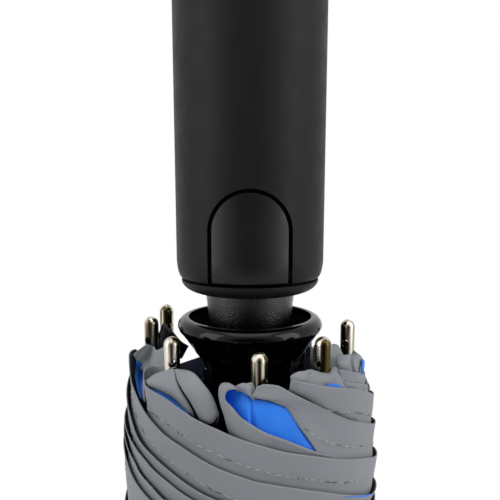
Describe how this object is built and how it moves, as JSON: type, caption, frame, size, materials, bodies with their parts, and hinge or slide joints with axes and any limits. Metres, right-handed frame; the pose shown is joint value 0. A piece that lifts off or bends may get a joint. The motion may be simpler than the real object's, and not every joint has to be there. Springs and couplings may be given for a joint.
{
  "type": "automatic folding umbrella",
  "caption": "Compact automatic umbrella, furled: round black handle with arched push button, flared runner cup, metal rib tips and a grey canopy with a blue lining.",
  "frame": {"origin": "centre of the ferrule cap's flat face, at the crown end", "axes": "+Z along the shaft towards the handle; -Y is the side of the push button, +X to its right"},
  "size_m": [0.0572, 0.0581, 0.29],
  "materials": {
    "handle_soft_touch": "soft touch",
    "button_plastic": "satin",
    "neck_plastic": "grained",
    "cup_plastic": "gloss",
    "inner_plastic": "moulded",
    "cap_plastic": "satin",
    "shaft_steel": "plated",
    "spring_steel": "bright",
    "rib_steel": "black",
    "tip_nickel": "warm nickel",
    "canopy_cloth": "grey outside, blue coating inside",
    "strap_cloth": "grey"
  },
  "bodies": {
    "crown": {"top_tube": "shaft_steel", "crown_hub": "inner_plastic", "crown_ring": "shaft_steel", "ferrule_cap": "cap_plastic", "canopy": "canopy_cloth", "tie_strap": "strap_cloth", "drive_spring": "spring_steel"},
    "middle_shaft": {"middle_tube": "shaft_steel"},
    "handle": {"handle_shell": "handle_soft_touch", "handle_end_cap": "handle_soft_touch", "handle_nose_ring": "handle_soft_touch", "neck_sleeve": "neck_plastic", "handle_core": "inner_plastic", "bottom_tube": "shaft_steel", "button_return_spring": "spring_steel"},
    "button": {"push_button": "button_plastic"},
    "pawl": {"latch_pawl": "inner_plastic"},
    "runner": {"runner_cup": "cup_plastic", "runner_hub": "cup_plastic"},
    "inner_arm_1": {"inner_rib_1": "rib_steel"},
    "stretcher_arm_1": {"stretcher_1": "rib_steel"},
    "middle_arm_1": {"middle_rib_1": "rib_steel"},
    "outer_arm_1": {"outer_rib_1": "rib_steel", "rib_tip_1": "tip_nickel"},
    "inner_arm_2": {"inner_rib_2": "rib_steel"},
    "stretcher_arm_2": {"stretcher_2": "rib_steel"},
    "middle_arm_2": {"middle_rib_2": "rib_steel"},
    "outer_arm_2": {"outer_rib_2": "rib_steel", "rib_tip_2": "tip_nickel"},
    "inner_arm_3": {"inner_rib_3": "rib_steel"},
    "stretcher_arm_3": {"stretcher_3": "rib_steel"},
    "middle_arm_3": {"middle_rib_3": "rib_steel"},
    "outer_arm_3": {"outer_rib_3": "rib_steel", "rib_tip_3": "tip_nickel"},
    "inner_arm_4": {"inner_rib_4": "rib_steel"},
    "stretcher_arm_4": {"stretcher_4": "rib_steel"},
    "middle_arm_4": {"middle_rib_4": "rib_steel"},
    "outer_arm_4": {"outer_rib_4": "rib_steel", "rib_tip_4": "tip_nickel"},
    "inner_arm_5": {"inner_rib_5": "rib_steel"},
    "stretcher_arm_5": {"stretcher_5": "rib_steel"},
    "middle_arm_5": {"middle_rib_5": "rib_steel"},
    "outer_arm_5": {"outer_rib_5": "rib_steel", "rib_tip_5": "tip_nickel"},
    "inner_arm_6": {"inner_rib_6": "rib_steel"},
    "stretcher_arm_6": {"stretcher_6": "rib_steel"},
    "middle_arm_6": {"middle_rib_6": "rib_steel"},
    "outer_arm_6": {"outer_rib_6": "rib_steel", "rib_tip_6": "tip_nickel"},
    "inner_arm_7": {"inner_rib_7": "rib_steel"},
    "stretcher_arm_7": {"stretcher_7": "rib_steel"},
    "middle_arm_7": {"middle_rib_7": "rib_steel"},
    "outer_arm_7": {"outer_rib_7": "rib_steel", "rib_tip_7": "tip_nickel"},
    "inner_arm_8": {"inner_rib_8": "rib_steel"},
    "stretcher_arm_8": {"stretcher_8": "rib_steel"},
    "middle_arm_8": {"middle_rib_8": "rib_steel"},
    "outer_arm_8": {"outer_rib_8": "rib_steel", "rib_tip_8": "tip_nickel"}
  },
  "joints": [
    {"name": "shaft_upper_slide", "type": "slide", "parent": "crown", "child": "middle_shaft", "axis": [0, 0, 1], "range_m": [0, 0.14]},
    {"name": "shaft_lower_slide", "type": "slide", "parent": "middle_shaft", "child": "handle", "axis": [0, 0, 1], "range_m": [0, 0.14]},
    {"name": "button_press", "type": "slide", "parent": "handle", "child": "button", "axis": [0, 1, 0], "range_m": [0, 0.002], "stiffness_N_per_m": 500, "springref_m": -0.001, "deforming": ["button_return_spring"]},
    {"name": "pawl_release", "type": "slide", "parent": "handle", "child": "pawl", "axis": [0, 0, -1], "range_m": [0, 0.0021]},
    {"name": "frame_opening", "type": "slide", "parent": "crown", "child": "runner", "axis": [0, 0, -1], "range_m": [0, 0.094], "deforming": ["canopy", "tie_strap"]},
    {"name": "inner_fold_1", "type": "hinge", "parent": "crown", "child": "inner_arm_1", "pos_m": [0.00034, -0.00959, 0.017], "axis": [0.9994, 0.0349, 0], "range_deg": [0, 80.3]},
    {"name": "stretcher_fold_1", "type": "hinge", "parent": "inner_arm_1", "child": "stretcher_arm_1", "pos_m": [0.00039, -0.01107, 0.087], "axis": [0.9994, 0.0349, 0], "range_deg": [-133.45, 0]},
    {"name": "middle_fold_1", "type": "hinge", "parent": "inner_arm_1", "child": "middle_arm_1", "pos_m": [0.00051, -0.01469, 0.182], "axis": [0.9994, 0.0349, 0], "range_deg": [-190.3, 0]},
    {"name": "outer_fold_1", "type": "hinge", "parent": "middle_arm_1", "child": "outer_arm_1", "pos_m": [0.00052, -0.01499, 0.02], "axis": [0.9994, 0.0349, 0], "range_deg": [0, 168.3]},
    {"name": "inner_fold_2", "type": "hinge", "parent": "crown", "child": "inner_arm_2", "pos_m": [0.00702, -0.00655, 0.017], "axis": [0.682, 0.7314, 0], "range_deg": [0, 80.3]},
    {"name": "stretcher_fold_2", "type": "hinge", "parent": "inner_arm_2", "child": "stretcher_arm_2", "pos_m": [0.0081, -0.00756, 0.087], "axis": [0.682, 0.7314, 0], "range_deg": [-133.45, 0]},
    {"name": "middle_fold_2", "type": "hinge", "parent": "inner_arm_2", "child": "middle_arm_2", "pos_m": [0.01075, -0.01002, 0.182], "axis": [0.682, 0.7314, 0], "range_deg": [-190.3, 0]},
    {"name": "outer_fold_2", "type": "hinge", "parent": "middle_arm_2", "child": "outer_arm_2", "pos_m": [0.01097, -0.01023, 0.02], "axis": [0.682, 0.7314, 0], "range_deg": [0, 168.3]},
    {"name": "inner_fold_3", "type": "hinge", "parent": "crown", "child": "inner_arm_3", "pos_m": [0.00959, 0.00034, 0.017], "axis": [-0.0349, 0.9994, 0], "range_deg": [0, 80.3]},
    {"name": "stretcher_fold_3", "type": "hinge", "parent": "inner_arm_3", "child": "stretcher_arm_3", "pos_m": [0.01107, 0.00039, 0.087], "axis": [-0.0349, 0.9994, 0], "range_deg": [-133.45, 0]},
    {"name": "middle_fold_3", "type": "hinge", "parent": "inner_arm_3", "child": "middle_arm_3", "pos_m": [0.01469, 0.00051, 0.182], "axis": [-0.0349, 0.9994, 0], "range_deg": [-190.3, 0]},
    {"name": "outer_fold_3", "type": "hinge", "parent": "middle_arm_3", "child": "outer_arm_3", "pos_m": [0.01499, 0.00052, 0.02], "axis": [-0.0349, 0.9994, 0], "range_deg": [0, 168.3]},
    {"name": "inner_fold_4", "type": "hinge", "parent": "crown", "child": "inner_arm_4", "pos_m": [0.00655, 0.00702, 0.017], "axis": [-0.7314, 0.682, 0], "range_deg": [0, 80.3]},
    {"name": "stretcher_fold_4", "type": "hinge", "parent": "inner_arm_4", "child": "stretcher_arm_4", "pos_m": [0.00756, 0.0081, 0.087], "axis": [-0.7314, 0.682, 0], "range_deg": [-133.45, 0]},
    {"name": "middle_fold_4", "type": "hinge", "parent": "inner_arm_4", "child": "middle_arm_4", "pos_m": [0.01002, 0.01075, 0.182], "axis": [-0.7314, 0.682, 0], "range_deg": [-190.3, 0]},
    {"name": "outer_fold_4", "type": "hinge", "parent": "middle_arm_4", "child": "outer_arm_4", "pos_m": [0.01023, 0.01097, 0.02], "axis": [-0.7314, 0.682, 0], "range_deg": [0, 168.3]},
    {"name": "inner_fold_5", "type": "hinge", "parent": "crown", "child": "inner_arm_5", "pos_m": [-0.00034, 0.00959, 0.017], "axis": [-0.9994, -0.0349, 0], "range_deg": [0, 80.3]},
    {"name": "stretcher_fold_5", "type": "hinge", "parent": "inner_arm_5", "child": "stretcher_arm_5", "pos_m": [-0.00039, 0.01107, 0.087], "axis": [-0.9994, -0.0349, 0], "range_deg": [-133.45, 0]},
    {"name": "middle_fold_5", "type": "hinge", "parent": "inner_arm_5", "child": "middle_arm_5", "pos_m": [-0.00051, 0.01469, 0.182], "axis": [-0.9994, -0.0349, 0], "range_deg": [-190.3, 0]},
    {"name": "outer_fold_5", "type": "hinge", "parent": "middle_arm_5", "child": "outer_arm_5", "pos_m": [-0.00052, 0.01499, 0.02], "axis": [-0.9994, -0.0349, 0], "range_deg": [0, 168.3]},
    {"name": "inner_fold_6", "type": "hinge", "parent": "crown", "child": "inner_arm_6", "pos_m": [-0.00702, 0.00655, 0.017], "axis": [-0.682, -0.7314, 0], "range_deg": [0, 80.3]},
    {"name": "stretcher_fold_6", "type": "hinge", "parent": "inner_arm_6", "child": "stretcher_arm_6", "pos_m": [-0.0081, 0.00756, 0.087], "axis": [-0.682, -0.7314, 0], "range_deg": [-133.45, 0]},
    {"name": "middle_fold_6", "type": "hinge", "parent": "inner_arm_6", "child": "middle_arm_6", "pos_m": [-0.01075, 0.01002, 0.182], "axis": [-0.682, -0.7314, 0], "range_deg": [-190.3, 0]},
    {"name": "outer_fold_6", "type": "hinge", "parent": "middle_arm_6", "child": "outer_arm_6", "pos_m": [-0.01097, 0.01023, 0.02], "axis": [-0.682, -0.7314, 0], "range_deg": [0, 168.3]},
    {"name": "inner_fold_7", "type": "hinge", "parent": "crown", "child": "inner_arm_7", "pos_m": [-0.00959, -0.00034, 0.017], "axis": [0.0349, -0.9994, 0], "range_deg": [0, 80.3]},
    {"name": "stretcher_fold_7", "type": "hinge", "parent": "inner_arm_7", "child": "stretcher_arm_7", "pos_m": [-0.01107, -0.00039, 0.087], "axis": [0.0349, -0.9994, 0], "range_deg": [-133.45, 0]},
    {"name": "middle_fold_7", "type": "hinge", "parent": "inner_arm_7", "child": "middle_arm_7", "pos_m": [-0.01469, -0.00051, 0.182], "axis": [0.0349, -0.9994, 0], "range_deg": [-190.3, 0]},
    {"name": "outer_fold_7", "type": "hinge", "parent": "middle_arm_7", "child": "outer_arm_7", "pos_m": [-0.01499, -0.00052, 0.02], "axis": [0.0349, -0.9994, 0], "range_deg": [0, 168.3]},
    {"name": "inner_fold_8", "type": "hinge", "parent": "crown", "child": "inner_arm_8", "pos_m": [-0.00655, -0.00702, 0.017], "axis": [0.7314, -0.682, 0], "range_deg": [0, 80.3]},
    {"name": "stretcher_fold_8", "type": "hinge", "parent": "inner_arm_8", "child": "stretcher_arm_8", "pos_m": [-0.00756, -0.0081, 0.087], "axis": [0.7314, -0.682, 0], "range_deg": [-133.45, 0]},
    {"name": "middle_fold_8", "type": "hinge", "parent": "inner_arm_8", "child": "middle_arm_8", "pos_m": [-0.01002, -0.01075, 0.182], "axis": [0.7314, -0.682, 0], "range_deg": [-190.3, 0]},
    {"name": "outer_fold_8", "type": "hinge", "parent": "middle_arm_8", "child": "outer_arm_8", "pos_m": [-0.01023, -0.01097, 0.02], "axis": [0.7314, -0.682, 0], "range_deg": [0, 168.3]}
  ],
  "couplings": [
    {"joint": "pawl_release", "follows": "button_press", "ratio": 1},
    {"joint": "inner_fold_1", "follows": "frame_opening", "rad_per_m": 14.854},
    {"joint": "stretcher_fold_1", "follows": "frame_opening", "rad_per_m": -24.722},
    {"joint": "middle_fold_1", "follows": "frame_opening", "rad_per_m": -35.278},
    {"joint": "outer_fold_1", "follows": "frame_opening", "rad_per_m": 31.193},
    {"joint": "inner_fold_2", "follows": "frame_opening", "rad_per_m": 14.854},
    {"joint": "stretcher_fold_2", "follows": "frame_opening", "rad_per_m": -24.722},
    {"joint": "middle_fold_2", "follows": "frame_opening", "rad_per_m": -35.278},
    {"joint": "outer_fold_2", "follows": "frame_opening", "rad_per_m": 31.193},
    {"joint": "inner_fold_3", "follows": "frame_opening", "rad_per_m": 14.854},
    {"joint": "stretcher_fold_3", "follows": "frame_opening", "rad_per_m": -24.722},
    {"joint": "middle_fold_3", "follows": "frame_opening", "rad_per_m": -35.278},
    {"joint": "outer_fold_3", "follows": "frame_opening", "rad_per_m": 31.193},
    {"joint": "inner_fold_4", "follows": "frame_opening", "rad_per_m": 14.854},
    {"joint": "stretcher_fold_4", "follows": "frame_opening", "rad_per_m": -24.722},
    {"joint": "middle_fold_4", "follows": "frame_opening", "rad_per_m": -35.278},
    {"joint": "outer_fold_4", "follows": "frame_opening", "rad_per_m": 31.193},
    {"joint": "inner_fold_5", "follows": "frame_opening", "rad_per_m": 14.854},
    {"joint": "stretcher_fold_5", "follows": "frame_opening", "rad_per_m": -24.722},
    {"joint": "middle_fold_5", "follows": "frame_opening", "rad_per_m": -35.278},
    {"joint": "outer_fold_5", "follows": "frame_opening", "rad_per_m": 31.193},
    {"joint": "inner_fold_6", "follows": "frame_opening", "rad_per_m": 14.854},
    {"joint": "stretcher_fold_6", "follows": "frame_opening", "rad_per_m": -24.722},
    {"joint": "middle_fold_6", "follows": "frame_opening", "rad_per_m": -35.278},
    {"joint": "outer_fold_6", "follows": "frame_opening", "rad_per_m": 31.193},
    {"joint": "inner_fold_7", "follows": "frame_opening", "rad_per_m": 14.854},
    {"joint": "stretcher_fold_7", "follows": "frame_opening", "rad_per_m": -24.722},
    {"joint": "middle_fold_7", "follows": "frame_opening", "rad_per_m": -35.278},
    {"joint": "outer_fold_7", "follows": "frame_opening", "rad_per_m": 31.193},
    {"joint": "inner_fold_8", "follows": "frame_opening", "rad_per_m": 14.854},
    {"joint": "stretcher_fold_8", "follows": "frame_opening", "rad_per_m": -24.722},
    {"joint": "middle_fold_8", "follows": "frame_opening", "rad_per_m": -35.278},
    {"joint": "outer_fold_8", "follows": "frame_opening", "rad_per_m": 31.193}
  ]
}
